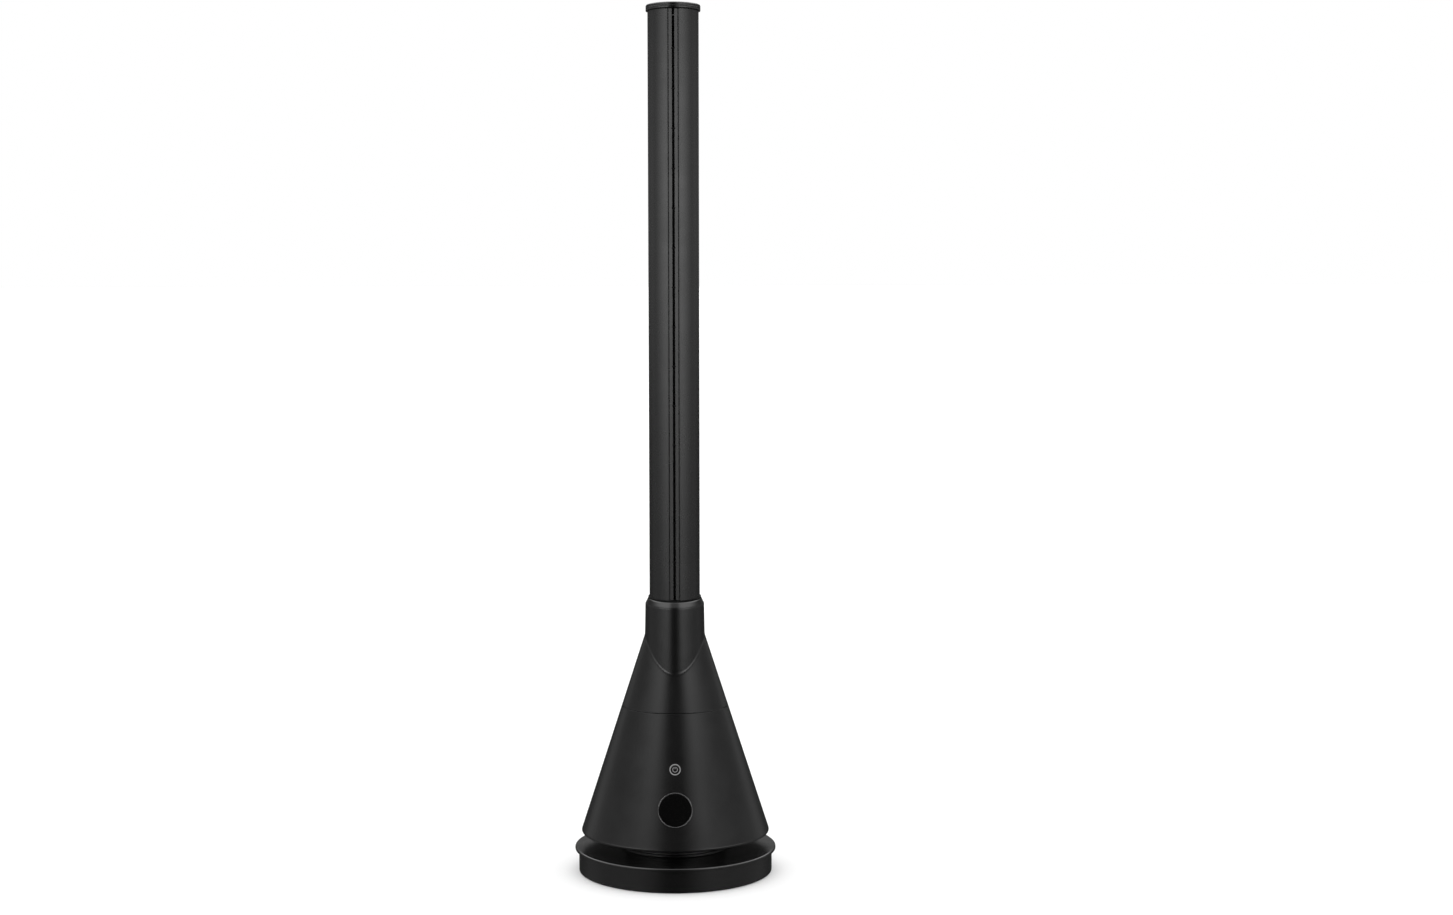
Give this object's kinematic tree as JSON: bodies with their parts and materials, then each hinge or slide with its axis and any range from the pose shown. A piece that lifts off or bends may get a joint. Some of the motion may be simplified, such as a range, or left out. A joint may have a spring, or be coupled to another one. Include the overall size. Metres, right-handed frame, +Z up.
{
  "type": "tower fan",
  "caption": "Slim tower fan: a conical blower head turns on a weighted floor dish and feeds a tall slotted oval column.",
  "frame": {"origin": "centre of the footprint, on the floor", "axes": "+Z up along the column, front with the slot, button and display towards -Y, +X to the right of someone facing the front view"},
  "size_m": [0.2248, 0.2248, 0.96],
  "materials": {
    "black_plastic": "fine moulded satin",
    "column_paint": "satin black powder paint",
    "window_black": "polished",
    "ring_black": "semi-gloss",
    "pale_print": "translucent light grey",
    "soft_rubber": "matt",
    "zinc_steel": "zinc plated",
    "cast_ballast": "rough cast",
    "inner_plastic": "moulded",
    "impeller_grey": "moulded glass-filled nylon",
    "slide_white": "acetal",
    "slide_black": "acetal",
    "post_aluminium": "machined",
    "lamination_steel": "stacked laminations",
    "winding_copper": "enamelled copper wire",
    "board_green": "solder mask",
    "component_dark": "moulded"
  },
  "bodies": {
    "base": {"base_cover": "black_plastic", "base_plate": "inner_plastic", "rubber_feet": "soft_rubber", "base_screws": "zinc_steel", "ballast_ring": "cast_ballast", "cord_gland": "black_plastic", "gland_nut": "black_plastic", "cord_clamp": "inner_plastic", "supply_board": "board_green", "supply_components": "component_dark", "pivot_post": "post_aluminium", "retaining_ring": "zinc_steel", "thrust_washer": "slide_black", "fixed_gear": "slide_white", "pivot_screws": "zinc_steel"},
    "head": {"turntable": "black_plastic", "pivot_bush": "slide_white", "oscillation_motor": "zinc_steel", "oscillation_screws": "zinc_steel", "turntable_screws": "zinc_steel", "intake_grille": "black_plastic", "grille_screws": "zinc_steel", "lower_shell": "black_plastic", "upper_shell": "black_plastic", "column_tube": "column_paint", "nozzle_strip": "column_paint", "top_cap": "black_plastic", "column_seal": "soft_rubber", "column_screws": "zinc_steel", "blower_deck": "inner_plastic", "deck_screws": "zinc_steel", "vibration_mounts": "soft_rubber", "inlet_bell": "inner_plastic", "impeller_shroud": "inner_plastic", "diffuser": "inner_plastic", "motor_housing": "post_aluminium", "motor_cover": "post_aluminium", "stator_core": "lamination_steel", "stator_windings": "winding_copper", "motor_bearings": "zinc_steel", "duct_adapter": "inner_plastic", "duct_gasket": "soft_rubber", "display_ring": "ring_black", "display_lens": "window_black", "display_board": "board_green", "digit_module": "component_dark", "infrared_receiver": "component_dark", "board_screws": "zinc_steel", "tactile_switch": "component_dark", "button_ring": "pale_print", "board_rail": "inner_plastic", "control_board": "board_green", "control_components": "component_dark"},
    "blower_rotor": {"impeller": "impeller_grey", "impeller_nut": "zinc_steel", "motor_rotor": "lamination_steel", "motor_shaft": "zinc_steel"},
    "drive_pinion": {"pinion": "slide_white"},
    "button": {"power_button": "ring_black", "power_symbol": "pale_print"}
  },
  "joints": [
    {"name": "oscillation", "type": "hinge", "parent": "base", "child": "head", "pos_m": [0, 0, 0.0316], "axis": [0, 0, 1], "range_deg": [-40, 40]},
    {"name": "blower_spin", "type": "hinge", "parent": "head", "child": "blower_rotor", "pos_m": [0, 0, 0.1], "axis": [0, 0, 1], "continuous": true},
    {"name": "pinion_spin", "type": "hinge", "parent": "head", "child": "drive_pinion", "pos_m": [0, 0.03915, 0.0337], "axis": [0, 0, 1], "range_deg": [-140, 140]},
    {"name": "button_press", "type": "slide", "parent": "head", "child": "button", "axis": [0, 0.9511, -0.3089], "range_m": [0, 0.0008], "stiffness_N_per_m": 400}
  ],
  "couplings": [
    {"joint": "pinion_spin", "follows": "oscillation", "ratio": 3.3333}
  ]
}
